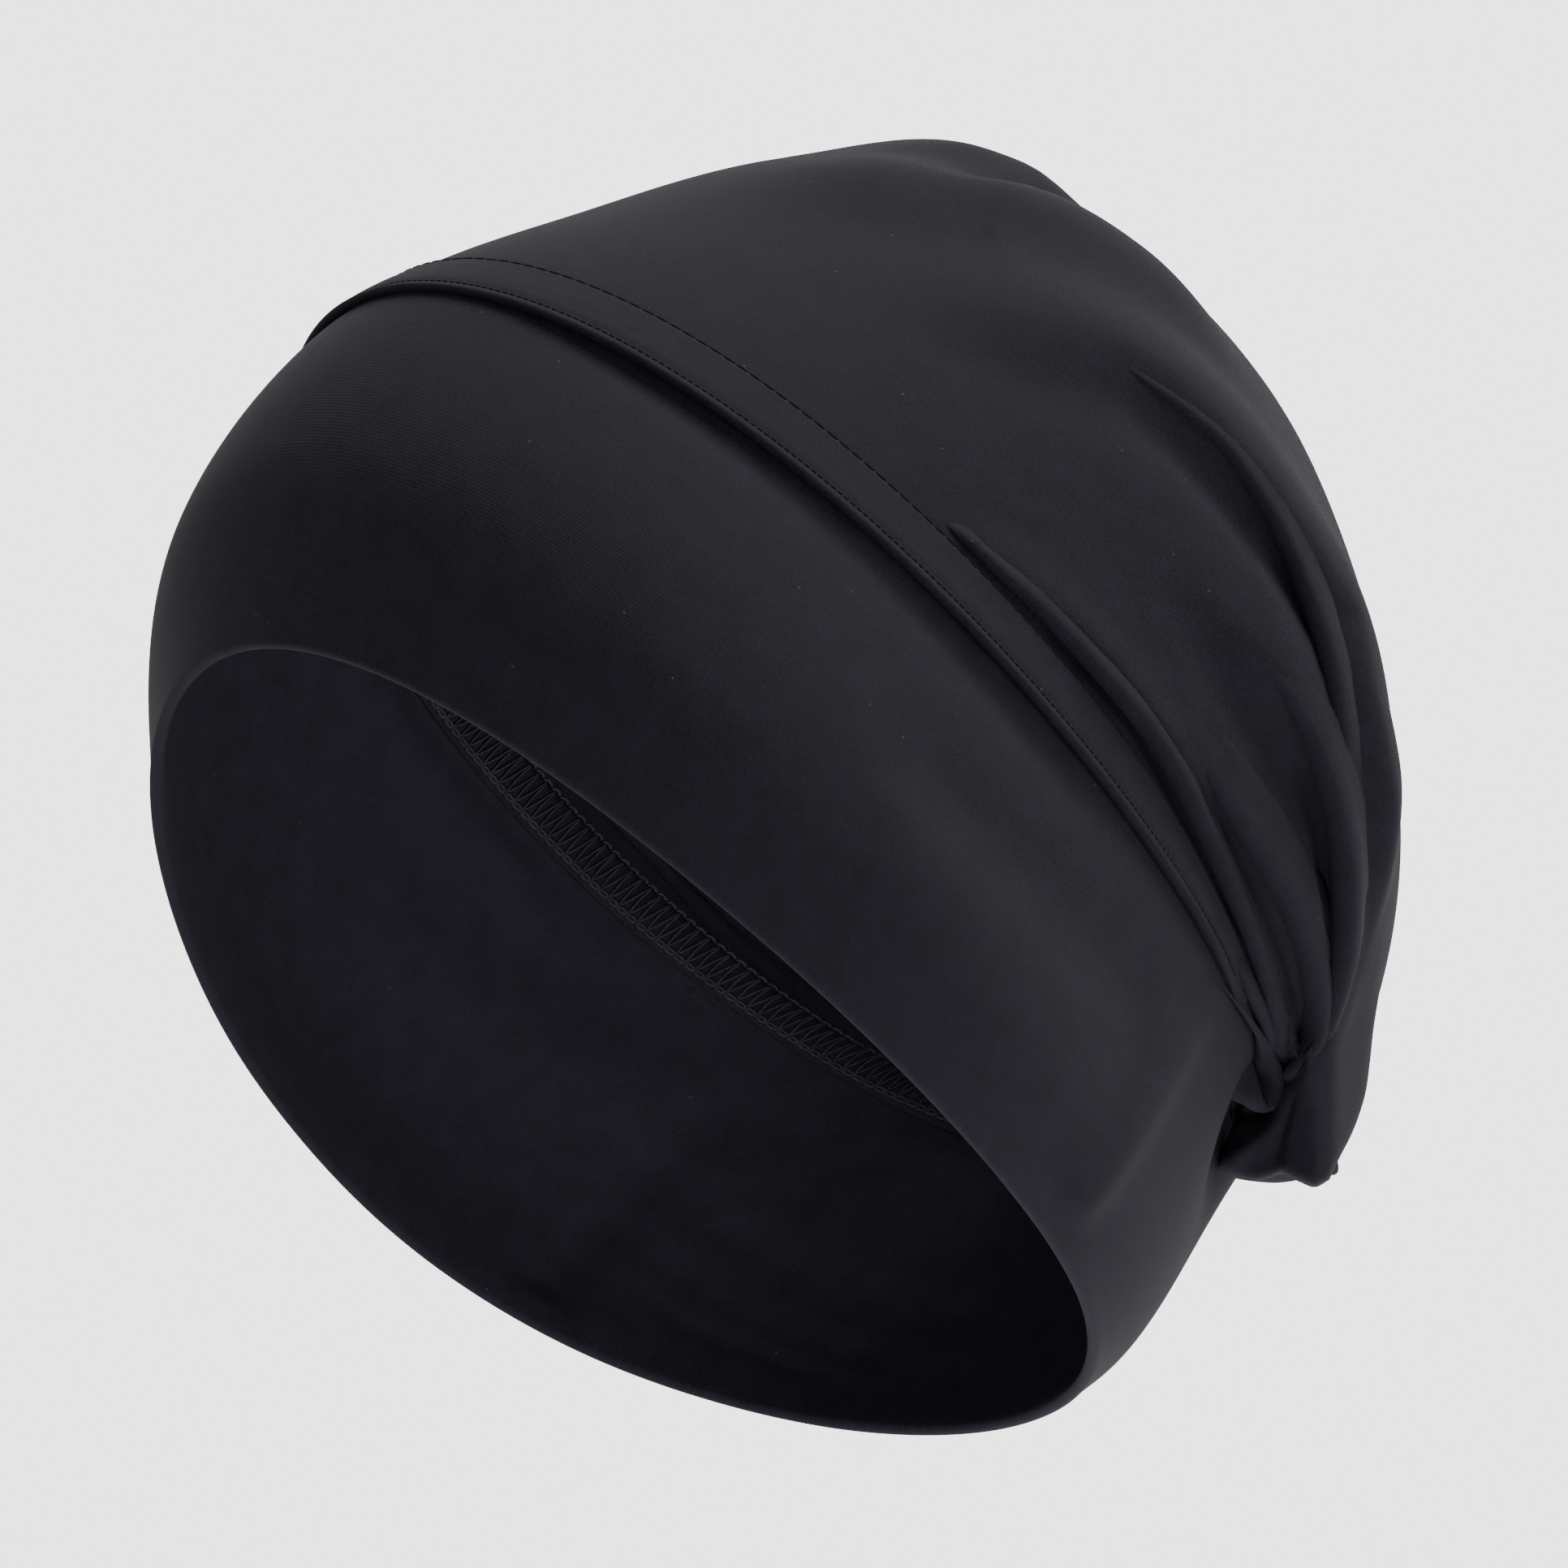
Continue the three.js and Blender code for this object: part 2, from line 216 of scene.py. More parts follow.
def turnBetween(a, b):
    return np.abs(np.mod(a - b + 180, 360) - 180)


def plainSurface(angle, v, pull=1.0):
    i = np.clip(np.floor(v).astype(int), 0, cap["pole"] - 1)
    t = (v - i)[..., None]
    row = between(*(loopTable[i + k] for k in range(4)), t)
    frontAlong, frontUp, backAlong, backUp, half, egg, dip, pinch = (row[..., k] for k in range(8))
    c, s = np.cos(np.radians(angle)), np.sin(np.radians(angle))
    along, up = (frontAlong - backAlong) / 2, (frontUp - backUp) / 2
    length = np.maximum(np.hypot(along, up), 1e-6)
    sag = dip * s**2
    p = fromOpening(half * (1 - egg * c) * s,
                    (frontAlong + backAlong) / 2 + along * c - sag * up / length,
                    (frontUp + backUp) / 2 + up * c + sag * along / length)
    for side in (1, -1):
        away = turnBetween(angle, side * gather["angle"])
        draw = pull * pinch * np.exp(-(away / gather["spread"]) ** 2)
        anchor = fromOpening(side * gather["out"] * cap["headWidth"] / 2,
                             gather["back"] * cap["headLength"] / 2, gather["up"] * cap["bandDepth"])
        p = p + draw[..., None] * (anchor - p)
        sunk = np.exp(-(turnBetween(angle, side * pucker["angle"]) / pucker["spread"]) ** 2)
        sunk = sunk * np.exp(-((v - pucker["loop"]) / pucker["span"]) ** 2) * pucker["inward"] * pull
        turn = math.radians(pucker["angle"])
        p = p - sunk[..., None] * np.array((side * math.sin(turn), -math.cos(turn), 0))
        for d in drapes:
            near = np.exp(-(turnBetween(angle, side * d["angle"]) / d["spread"]) ** 2)
            amount = near * np.exp(-((v - d["loop"]) / d["span"]) ** 2)
            amount = amount * smoothStep(v - cap["seam"], 0, 0.3)
            turn = math.radians(d["angle"])
            way = np.array((side * math.sin(turn) * d["flare"], -math.cos(turn) * d["flare"], -d["drop"]))
            p = p + amount[..., None] * way
    return p


def unit(a):
    return a / np.maximum(np.linalg.norm(a, axis=-1, keepdims=True), 1e-9)


# grids run [row over the loops, station round the head]
def gridNormals(p):
    around = np.roll(p, -1, axis=1) - np.roll(p, 1, axis=1)
    over = np.gradient(p, axis=0)
    n = unit(np.cross(around, over))
    if np.allclose(p[-1], p[-1, 0]):
        n[-1] = unit(n[-2].mean(axis=0))
    return n


def stepPerLoop(angle, v):
    return np.linalg.norm(plainSurface(angle, v + 0.05) - plainSurface(angle, v), axis=-1) / 0.05


# folds, dents and rolls

def smoothPath(places, steps=8):
    p = np.array(places, float) / (cap["degreesPerLoop"], 1)
    p = np.vstack([2 * p[0] - p[1], p, 2 * p[-1] - p[-2]])
    t = (np.arange(steps) / steps)[:, None]
    out = []
    for i in range(1, len(p) - 2):
        out.append(between(*p[i - 1:i + 3], t))
    return np.vstack([*out, p[-2:-1]])


# signed distance in loops from the path, positive towards the pole, and the share along it
def awayFromPath(angle, v, path):
    best = np.full(angle.shape, np.inf)
    signed, share = np.zeros(angle.shape), np.zeros(angle.shape)
    x, y = angle / cap["degreesPerLoop"], v
    for k in range(len(path) - 1):
        (ax, ay), (bx, by) = path[k], path[k + 1]
        dx, dy = bx - ax, by - ay
        t = np.clip(((x - ax) * dx + (y - ay) * dy) / (dx * dx + dy * dy), 0, 1)
        gx, gy = x - ax - t * dx, y - ay - t * dy
        miss = np.hypot(gx, gy)
        closer = miss < best
        best = np.where(closer, miss, best)
        signed = np.where(closer, np.where(dx * gy - dy * gx < 0, -miss, miss), signed)
        share = np.where(closer, (k + t) / (len(path) - 1), share)
    return signed, share


# a fold rises at its path and falls off over low loops on the rim side and high loops on
# the pole side, with a valley of depth dent below it, and leans over that valley
def foldShape(angle, v, fold):
    signed, share = awayFromPath(angle, v, smoothPath(fold["places"]))
    ridge = np.exp(-(signed / np.where(signed > 0, fold["high"], fold["low"])) ** 2)
    valley = np.exp(-((signed + 1.75 * fold["low"]) / (0.8 * fold["low"])) ** 2)
    begin, end = fold.get("start", 0.3), fold.get("end", 0.15)
    ends = smoothStep(share, -0.02, begin) * smoothStep(1 - share, -0.02, end)
    lift = fold["rise"] * ridge * ends - fold.get("dent", 0) * valley * ends
    return lift, fold.get("lean", 0) * ridge * ends


# the same folds on both sides
def foldAll(angle, v, folds):
    lift, lean = np.zeros(angle.shape), np.zeros(angle.shape)
    for fold in folds:
        up, over = foldShape(np.abs(angle), v, fold)
        lift += up
        lean += over
    return lift, lean


waves = {"count": 14, "fewest": 2, "most": 15, "overLoops": 2.2, "fade": 0.15, "share": 0.2}


# soft unevenness of worn cloth, the same each run
def unevenness(angle, v, seed):
    rng = np.random.default_rng(seed)
    total = np.zeros(angle.shape)
    for _ in range(waves["count"]):
        turns = rng.integers(waves["fewest"], waves["most"])
        loopWaves = rng.uniform(-waves["overLoops"], waves["overLoops"])
        phase = rng.uniform(0, 6.28)
        total += np.sin(np.radians(angle) * turns + v * loopWaves + phase) / (1 + waves["fade"] * turns)
    return total * waves["share"]


def smoothLine(points, count):
    p = np.array(points, float)
    p = np.vstack([2 * p[0] - p[1], p, 2 * p[-1] - p[-2]])
    out = []
    for t in np.linspace(0, len(points) - 1 - 1e-6, count):
        i = int(t)
        out.append(between(*p[i:i + 4], t - i))
    return np.array(out)


def soften(rows, rounds):
    for _ in range(rounds):
        rows[1:-1] = (rows[:-2] + 2 * rows[1:-1] + rows[2:]) / 4
    return rows


def meshFrom(name, vertices, faces, uvs=None):
    mesh = bpy.data.meshes.new(name)
    mesh.from_pydata((np.asarray(vertices) * mm).tolist(), [], faces)
    mesh.validate()
    if uvs is not None:
        layer = mesh.uv_layers.new(name="cloth")
        layer.data.foreach_set("uv", np.asarray(uvs)[[l.vertex_index for l in mesh.loops]].ravel())
    for polygon in mesh.polygons:
        polygon.use_smooth = True
    obj = bpy.data.objects.new(name, mesh)
    bpy.context.collection.objects.link(obj)
    return obj


# every piece sits on the one body, in place of a solid, in its own cloth
def dress(obj, look, node):
    obj.data.materials.append(materials[look])
    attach(obj, "root")
    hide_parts(node)
    return obj


def faceOut(obj):
    bpy.ops.object.select_all(action="DESELECT")
    obj.select_set(True)
    bpy.context.view_layer.objects.active = obj
    bpy.ops.object.mode_set(mode="EDIT")
    bpy.ops.mesh.select_all(action="SELECT")
    bpy.ops.mesh.normals_make_consistent(inside=False)
    bpy.ops.object.mode_set(mode="OBJECT")


# closed skin over rows of stations: rows run from one edge to the other and back inside
def ringFaces(rows, stations, closeRows):
    faces = []
    for r in range(rows if closeRows else rows - 1):
        n = (r + 1) % rows
        for s in range(stations):
            t = (s + 1) % stations
            faces.append((r * stations + s, r * stations + t, n * stations + t, n * stations + s))
    return faces


# a closed tube along its stations: rows run round it, and each end gets a cap
def tubeFaces(rows, stations):
    faces = []
    for r in range(rows):
        n = (r + 1) % rows
        for k in range(stations - 1):
            faces.append((r * stations + k, n * stations + k, n * stations + k + 1, r * stations + k + 1))
    faces.append(tuple(r * stations for r in range(rows))[::-1])
    faces.append(tuple(r * stations + stations - 1 for r in range(rows)))
    return faces


# a piece's own lengths in metres along its first row, and its height over all rows
def rowLengths(rows, height):
    across = np.cumsum(np.linalg.norm(np.diff(rows[0], axis=0, prepend=rows[0][:1]), axis=-1))
    up = np.linspace(0, 1, len(rows))[:, None] * height
    return np.stack(np.broadcast_arrays(across[None] * mm, up), -1).reshape(-1, 2)


# parts give a first and a last place and a count of steps
def spans(parts):
    out = [np.linspace(a, b, n, endpoint=False) for a, b, n in parts]
    return np.concatenate([*out, [parts[-1][1]]])


def roundStations(near, far):
    a, b = spans(near), spans(far)
    return np.concatenate([a, -b[1:-1][::-1]])


# cloth materials


def nodeGroup(name, inputs, outputs):
    group = bpy.data.node_groups.new(name, "ShaderNodeTree")
    for label, kind, value in inputs:
        socket = group.interface.new_socket(name=label, in_out="INPUT", socket_type=kind)
        if value is not None:
            socket.default_value = value
    for label, kind in outputs:
        group.interface.new_socket(name=label, in_out="OUTPUT", socket_type=kind)
    return group, group.nodes.new("NodeGroupInput"), group.nodes.new("NodeGroupOutput")


def mathNode(tree, operation, a, b=None, c=None):
    node = tree.nodes.new("ShaderNodeMath")
    node.operation = operation
    for socket, value in zip(node.inputs, (a, b, c)):
        if value is None:
            continue
        if isinstance(value, (int, float)):
            socket.default_value = value
        else:
            tree.links.new(value, socket)
    return node.outputs[0]


# fine jersey on the cloth's own lengths in metres: columns of slanted loops, and a mottle
weave = {
    "legSlant": 2.4,
    "legShare": 0.35,
    "mottleScale": 160,
    "mottleShare": 0.35,
    "grainScale": 1500,
    "grainShare": 0.65,
}


def noiseNode(tree, lengths, scale, detail):
    noise = tree.nodes.new("ShaderNodeTexNoise")
    noise.inputs["Scale"].default_value = scale
    noise.inputs["Detail"].default_value = detail
    tree.links.new(lengths, noise.inputs["Vector"])
    return noise.outputs["Fac"]


def knitGroup():
    tree, given, out = nodeGroup(
        "knit", [("Cloth", "NodeSocketVector", None), ("Pitch", "NodeSocketFloat", 0.00062)],
        [("Loops", "NodeSocketFloat"), ("Shade", "NodeSocketFloat")])
    split = tree.nodes.new("ShaderNodeSeparateXYZ")
    tree.links.new(given.outputs["Cloth"], split.inputs[0])
    turns = mathNode(tree, "DIVIDE", 2 * math.pi, given.outputs["Pitch"])
    across = mathNode(tree, "SINE", mathNode(tree, "MULTIPLY", split.outputs["X"], turns))
    side = mathNode(tree, "ABSOLUTE", across)
    along = mathNode(tree, "MULTIPLY", split.outputs["Y"], turns)
    leg = mathNode(tree, "MULTIPLY", side, weave["legSlant"])
    slant = mathNode(tree, "SINE", mathNode(tree, "ADD", along, leg))
    legs = mathNode(tree, "MULTIPLY_ADD", slant, weave["legShare"], 1 - weave["legShare"])
    loops = mathNode(tree, "MULTIPLY", side, legs)
    mottle = noiseNode(tree, given.outputs["Cloth"], weave["mottleScale"], 4)
    grain = noiseNode(tree, given.outputs["Cloth"], weave["grainScale"], 2)
    mottled = mathNode(tree, "ADD", mathNode(tree, "MULTIPLY", mottle, weave["mottleShare"]),
                       mathNode(tree, "MULTIPLY", grain, weave["grainShare"]))
    tree.links.new(loops, out.inputs["Loops"])
    tree.links.new(mottled, out.inputs["Shade"])
    return tree


# scattered specks of lint: how many cells a metre, a speck's radius in cells, and how rare
specks = {"cells": 260, "radius": 0.055, "rare": 0.86}


def lintGroup():
    tree, given, out = nodeGroup(
        "lint", [("Cloth", "NodeSocketVector", None)], [("Specks", "NodeSocketFloat")])
    cells = tree.nodes.new("ShaderNodeTexVoronoi")
    cells.inputs["Scale"].default_value = specks["cells"]
    tree.links.new(given.outputs["Cloth"], cells.inputs["Vector"])
    close = mathNode(tree, "LESS_THAN", cells.outputs["Distance"], specks["radius"])
    split = tree.nodes.new("ShaderNodeSeparateColor")
    tree.links.new(cells.outputs["Color"], split.inputs[0])
    some = mathNode(tree, "GREATER_THAN", split.outputs[0], specks["rare"])
    tree.links.new(mathNode(tree, "MULTIPLY", close, some), out.inputs["Specks"])
    return tree


groups = {"knit": knitGroup(), "lint": lintGroup()}

# what all the cap's cloths and threads share
finish = {
    "loopShare": 0.35,
    "contrast": 2.7,
    "middle": -1.0,
    "lint": (0.04, 0.038, 0.04),
    "roughness": 0.78,
    "roughnessSpread": 0.16,
    "loopDepth": 0.00012,
    "sheenRoughness": 0.45,
    "sheenTint": (0.86, 0.84, 1.0),
    "shine": 0.025,
}


def clothMaterial(name, look):
    mat = bpy.data.materials.new(name)
    mat.use_nodes = True
    tree = mat.node_tree
    shader = tree.nodes["Principled BSDF"]
    lengths = tree.nodes.new("ShaderNodeUVMap")
    lengths.uv_map = "cloth"
    knit = tree.nodes.new("ShaderNodeGroup")
    knit.node_tree = groups["knit"]
    knit.inputs["Pitch"].default_value = look["pitch"]
    lint = tree.nodes.new("ShaderNodeGroup")
    lint.node_tree = groups["lint"]
    for node in (knit, lint):
        tree.links.new(lengths.outputs["UV"], node.inputs["Cloth"])
    shade = tree.nodes.new("ShaderNodeMix")
    shade.data_type = "RGBA"
    shade.inputs[6].default_value = (*look["dark"], 1)
    shade.inputs[7].default_value = (*look["light"], 1)
    mottle = mathNode(tree, "MULTIPLY_ADD", knit.outputs["Shade"], finish["contrast"], finish["middle"])
    amount = mathNode(tree, "MULTIPLY_ADD", knit.outputs["Loops"], finish["loopShare"], mottle)
    tree.links.new(amount, shade.inputs[0])
    linty = tree.nodes.new("ShaderNodeMix")
    linty.data_type = "RGBA"
    linty.inputs[7].default_value = (*finish["lint"], 1)
    tree.links.new(mathNode(tree, "MULTIPLY", lint.outputs["Specks"], look["lintShare"]), linty.inputs[0])
    tree.links.new(shade.outputs[2], linty.inputs[6])
    tree.links.new(linty.outputs[2], shader.inputs["Base Color"])
    rough = mathNode(tree, "MULTIPLY_ADD", knit.outputs["Shade"], finish["roughnessSpread"],
                     finish["roughness"])
    tree.links.new(rough, shader.inputs["Roughness"])
    bump = tree.nodes.new("ShaderNodeBump")
    bump.inputs["Strength"].default_value = look["bump"]
    bump.inputs["Distance"].default_value = finish["loopDepth"]
    tree.links.new(knit.outputs["Loops"], bump.inputs["Height"])
    tree.links.new(bump.outputs["Normal"], shader.inputs["Normal"])
    shader.inputs["Sheen Weight"].default_value = look["sheen"]
    shader.inputs["Sheen Roughness"].default_value = finish["sheenRoughness"]
    shader.inputs["Sheen Tint"].default_value = (*finish["sheenTint"], 1)
    shader.inputs["Specular IOR Level"].default_value = finish["shine"]
    return mat


looks = {
    "outer": {"pitch": 0.00062, "dark": (0.00057, 0.0005, 0.001), "light": (0.00195, 0.00172, 0.0031),
              "lintShare": 0.16, "bump": 0.6, "sheen": 0.003},
    # the seam look is the cap's own cloth painted darker: painted shade on the seam allowance and between
    # its overlock threads
    "seam": {"pitch": 0.0005, "dark": (0.0004, 0.00035, 0.0006), "light": (0.0014, 0.0012, 0.002),
             "lintShare": 0.12, "bump": 0.6, "sheen": 0.003},
    "thread": {"pitch": 0.0004, "dark": (0.0016, 0.0014, 0.0021), "light": (0.0038, 0.0035, 0.0048),
               "lintShare": 0.0, "bump": 0.4, "sheen": 0.006},
    "shadow": {"pitch": 0.0004, "dark": (0.0003, 0.0003, 0.0004), "light": (0.0009, 0.0009, 0.0012),
               "lintShare": 0.0, "bump": 0.4, "sheen": 0.0},
}
materials = {name: clothMaterial(name + "Cloth", look) for name, look in looks.items()}
print("materials made")


nearSpans = ((0, 40, 34), (40, 165, 220), (165, 180, 14))
farSpans = ((0, 40, 27), (40, 165, 84), (165, 180, 10))
clothStations = roundStations(nearSpans, farSpans)


# places on the surface with its folds and unevenness in millimetres, away from the gathers
def clothPlace(angle, v, folds, uneven, seed):
    base = plainSurface(angle, v)
    around = plainSurface(angle + 0.4, v) - plainSurface(angle - 0.4, v)
    high = np.minimum(v + 0.02, cap["pole"] - 0.001)
    over = plainSurface(angle, high) - plainSurface(angle, high - 0.04)
    out, rise = unit(np.cross(around, over)), unit(over)
    lift, lean = foldAll(angle, v, folds)
    drawn = np.exp(-(turnBetween(np.abs(angle), gather["angle"]) / gather["smoothSpread"]) ** 2)
    drawn = drawn * np.exp(-((v - gather["smoothLoop"]) / gather["smoothSpan"]) ** 2)
    fade = smoothStep(cap["pole"] - v, 0, 1.5) * np.where(v > cap["seam"], 1 - gather["smooth"] * drawn, 1)
    lift, lean = lift * fade, lean * fade
    lift = lift + uneven * unevenness(angle, v, seed) * fade
    p = base + out * lift[..., None] - rise * lean[..., None]
    n = gridNormals(p)
    n = np.where((np.sum(n * out, -1) < 0)[..., None], -n, n)
    return p, n, rise


def clothLengths(p):
    along = np.linalg.norm(np.diff(p, axis=1, append=p[:, :1]), axis=-1)
    middle = len(p) // 2
    across = np.cumsum(along[middle]) - along[middle]
    up = np.cumsum(np.linalg.norm(np.diff(p, axis=0, prepend=p[:1]), axis=-1), axis=0)
    return np.stack([np.broadcast_to(across, up.shape), up], -1) * mm


# crown, one layer gathered into the band on both sides of the nape

crown = {
    "wall": 1.3,
    "start": 0.008,  # loops above the band's edge
    "uneven": 0.35,
    "seed": 3,
    "rows": ((2.0, 3.2, 50), (3.2, 5.3, 60), (5.3, 8.0, 32)),
    "innerEvery": 3,
    "folds": (
        {"places": ((68, 2.36), (76, 2.43), (86, 2.58), (96, 2.66), (104, 2.60), (112, 2.50), (118, 2.62),
                    (123, 2.90)), "rise": 1.6, "low": 0.12, "high": 0.2, "dent": 0.8, "lean": 0.4},
        {"places": ((90, 2.58), (98, 2.78), (102, 2.93), (108, 3.10), (117, 3.41), (124, 3.60), (130, 3.50),
                    (134, 3.00), (142, 2.30)),
         "rise": 1.8, "low": 0.16, "high": 0.3, "dent": 1.2, "lean": 0.4},
        {"places": ((78, 3.50), (86, 3.62), (92, 3.74), (97, 3.96), (103, 4.22), (113, 4.36), (122, 4.30),
                    (130, 4.20), (138, 3.84), (144, 3.00), (148, 2.30)),
         "rise": 2.8, "low": 0.2, "high": 0.42, "dent": 1.8, "lean": 0.6},
        {"places": ((44, 3.40), (52, 3.60), (60, 4.08), (72, 4.41), (83, 4.67), (89, 4.89), (98, 4.80),
                    (108, 4.95), (118, 5.20)),
         "rise": 3.2, "low": 0.22, "high": 0.46, "dent": 1.8, "lean": 0.6},
        {"places": ((14, 3.30), (23, 3.71), (28, 4.01), (34, 4.30), (42, 4.80), (50, 5.40)), "rise": 2.6,
         "low": 0.3, "high": 0.3, "dent": 0.8, "lean": 0.6},
        {"places": ((14, 3.80), (17, 4.40), (20, 4.90), (23, 5.40)), "rise": 4.2, "low": 0.22, "high": 0.7,
         "start": 0.5, "end": 0.35},
        {"places": ((28, 4.00), (29, 4.50), (29, 5.00), (30, 5.40)), "rise": -1.6, "low": 0.1, "high": 0.1,
         "start": 0.35, "end": 0.25},
        {"places": ((32, 3.90), (33, 4.50), (34, 5.00), (35, 5.50)), "rise": 0.9, "low": 0.25, "high": 0.1,
         "end": 0.25},
        {"places": ((132, 5.20), (150, 4.50), (164, 3.60)),
         "rise": 3.0, "low": 0.3, "high": 0.5, "dent": 1.2},
    ),
}


def makeCrown():
    v = spans(crown["rows"])
    v[0] += crown["start"]
    inner = v[::-1][:: crown["innerEvery"]]
    inner = inner if inner[-1] == v[0] else np.append(inner, v[0])
    angle, loop = np.meshgrid(clothStations, v)
    p, n, _ = clothPlace(angle, loop, crown["folds"], crown["uneven"], crown["seed"])
    keep = np.searchsorted(v, inner)
    back = p[keep] - n[keep] * crown["wall"]
    rows, count = len(v) - 1, len(clothStations)
    outer, under = p[:-1].reshape(-1, 3), back[1:].reshape(-1, 3)
    vertices = np.vstack([outer, [p[-1, 0]], [p[-1, 0] - n[-1, 0] * crown["wall"]], under])
    faces = ringFaces(rows, count, False)
    pole, hollow = rows * count, rows * count + 1
    for s in range(count):
        faces.append(((rows - 1) * count + s, (rows - 1) * count + (s + 1) % count, pole))
        faces.append((hollow, hollow + 1 + (s + 1) % count, hollow + 1 + s))
    below = len(inner) - 1
    for face in ringFaces(below, count, False):
        faces.append(tuple(i + hollow + 1 for i in face))
    last = hollow + 1 + (below - 1) * count
    for s in range(count):
        t = (s + 1) % count
        faces.append((last + s, last + t, t, s))
    lengths = clothLengths(p)
    inside = lengths[keep][1:].reshape(-1, 2)
    uv = np.vstack([lengths[:-1].reshape(-1, 2), lengths[-1, :1], lengths[-1, :1], inside])
    obj = meshFrom("crownCloth", vertices, faces, uv)
    return dress(obj, "outer", "crown")


# band, folded double at the rim

band = {
    "wall": 2.2,
    "uneven": 0.3,
    "seed": 8,
    "liningUneven": 0.2,
    "liningSeed": 21,
    "lining": (
        {"places": ((104, 1.62), (128, 1.42), (150, 1.36), (172, 1.40)),
         "rise": 0.8, "low": 0.1, "high": 0.18, "dent": 0.4},
        {"places": ((112, 1.30), (136, 1.12), (158, 1.05), (176, 1.10)),
         "rise": 0.6, "low": 0.11, "high": 0.16, "dent": 0.3},
        {"places": ((120, 0.98), (144, 0.82), (166, 0.78)),
         "rise": 0.4, "low": 0.12, "high": 0.16, "dent": 0.2},
    ),
    "rows": 58,
    "rimSteps": 6,
    "folds": (
        {"places": ((124, 1.85), (122, 1.30), (121, 0.70), (120, 0.15)),
         "rise": 1.6, "low": 0.14, "high": 0.10},
        {"places": ((20, 1.90), (45, 1.88), (70, 1.84), (105, 1.80)),
         "rise": -1.1, "low": 0.12, "high": 0.06},
        {"places": ((74, 1.30), (96, 1.38), (118, 1.52)), "rise": -1.7, "low": 0.2, "high": 0.16},
        {"places": ((30, 0.90), (60, 1.05), (84, 0.80)), "rise": -0.8, "low": 0.3, "high": 0.3},
    ),
}


def makeBand():
    v = np.linspace(0, cap["seam"], band["rows"])
    angle, loop = np.meshgrid(clothStations, v)
    p, n, rise = clothPlace(angle, loop, band["folds"], band["uneven"], band["seed"])
    lining, _ = foldAll(angle, loop, band["lining"])
    uneven = band["liningUneven"] * unevenness(angle, loop, band["liningSeed"])
    inside = p - n * (band["wall"] + np.clip(lining, -0.8, 3) + uneven)[..., None]
    turns = np.linspace(0, math.pi, band["rimSteps"] + 1)[1:-1]
    middle, half = (p[0] + inside[0]) / 2, band["wall"] / 2
    rim = [middle + n[0] * half * math.cos(t) - rise[0] * half * math.sin(t) for t in turns]
    rows = np.concatenate([np.array(rim)[::-1], p, inside[::-1]])
    lengths = clothLengths(p)
    flat = np.concatenate([np.repeat(lengths[:1], len(rim), axis=0), lengths, lengths[::-1]])
    obj = meshFrom("bandCloth", rows.reshape(-1, 3), ringFaces(len(rows), len(clothStations), True),
                   flat.reshape(-1, 2))
    return dress(obj, "outer", "band")


# strip over the seam, turned under at its hem and thinning out below the gathers

strip = {
    "below": 2.5,
    "above": 9.0,
    "top": 0.32,
    "hem": 1.35,
    "clear": 0.3,
    "underClear": 0.1,
    "narrows": 96.0,
    "end": 128.0,
    "stations": 420,
    "outerRows": 16,
    "innerRows": 6,
    "stitchUp": 1.7,
    "stitchPitch": 1.35,
    "stitchThick": 0.42,
    "stitchSink": 0.3,
    "threadsEnd": 4.0,  # degrees before the strip's own end
    "linePitch": 2.6,
    "lineThick": 0.4,
}


def stripWidthAt(angle):
    return strip["above"] * (1 - 0.5 * smoothStep(np.abs(angle), strip["narrows"], strip["end"]))


# places on the plain cap at a length from the seam, with the ways out and up
def nearSeam(angle, length):
    seam = np.full_like(angle, cap["seam"])
    v = seam + np.clip(length / stepPerLoop(angle, seam), -0.3, 0.3)
    p = plainSurface(angle, v)
    around = plainSurface(angle + 0.4, v) - plainSurface(angle - 0.4, v)
    over = plainSurface(angle, v + 0.02) - plainSurface(angle, v - 0.02)
    return p, unit(np.cross(around, over)), unit(over)


def stripThick(angle, up):
    share = np.clip((up + strip["below"]) / (stripWidthAt(angle) + strip["below"]), 0, 1)
    thick = strip["hem"] + (strip["top"] - strip["hem"]) * share
    thick = thick - strip["stitchSink"] * np.exp(-((up + strip["below"] - strip["stitchUp"]) / 0.6) ** 2)
    ends = 0.06 + 0.94 * smoothStep(strip["end"] - np.abs(angle), 0, 9)
    return thick * ends + 0.05 * unevenness(angle, up, 5)


def makeStrip():
    angles = np.linspace(-strip["end"], strip["end"], strip["stations"])
    width = stripWidthAt(angles)
    ends = smoothStep(strip["end"] - np.abs(angles), 0, 6)
    section = []
    # outside from the upper edge down to the hem, then back up inside
    for share in np.linspace(1, 0, strip["outerRows"]):
        length = -strip["below"] + share * (width + strip["below"])
        p, n, _ = nearSeam(angles, length)
        section.append(p + n * (strip["clear"] + stripThick(angles, length))[:, None])
    p, n, over = nearSeam(angles, np.full_like(angles, -strip["below"]))
    for turn in (0.35, 0.65):
        out = strip["clear"] + strip["hem"] * (1 - turn) * (0.35 + 0.65 * ends)
        section.append(p + n * out[:, None] - over * 0.45 * np.sin(math.pi * turn))
    for share in np.linspace(0, 1, strip["innerRows"]):
        p, n, _ = nearSeam(angles, -strip["below"] + share * (width + strip["below"]))
        section.append(p + n * strip["underClear"])
    rows = np.array(section)
    faces = tubeFaces(len(rows), len(angles))
    obj = meshFrom("hemStrip", rows.reshape(-1, 3), faces, rowLengths(rows, 0.024))
    return dress(obj, "outer", "hem_strip")


# seam allowance inside, overlocked and turned up over the crown

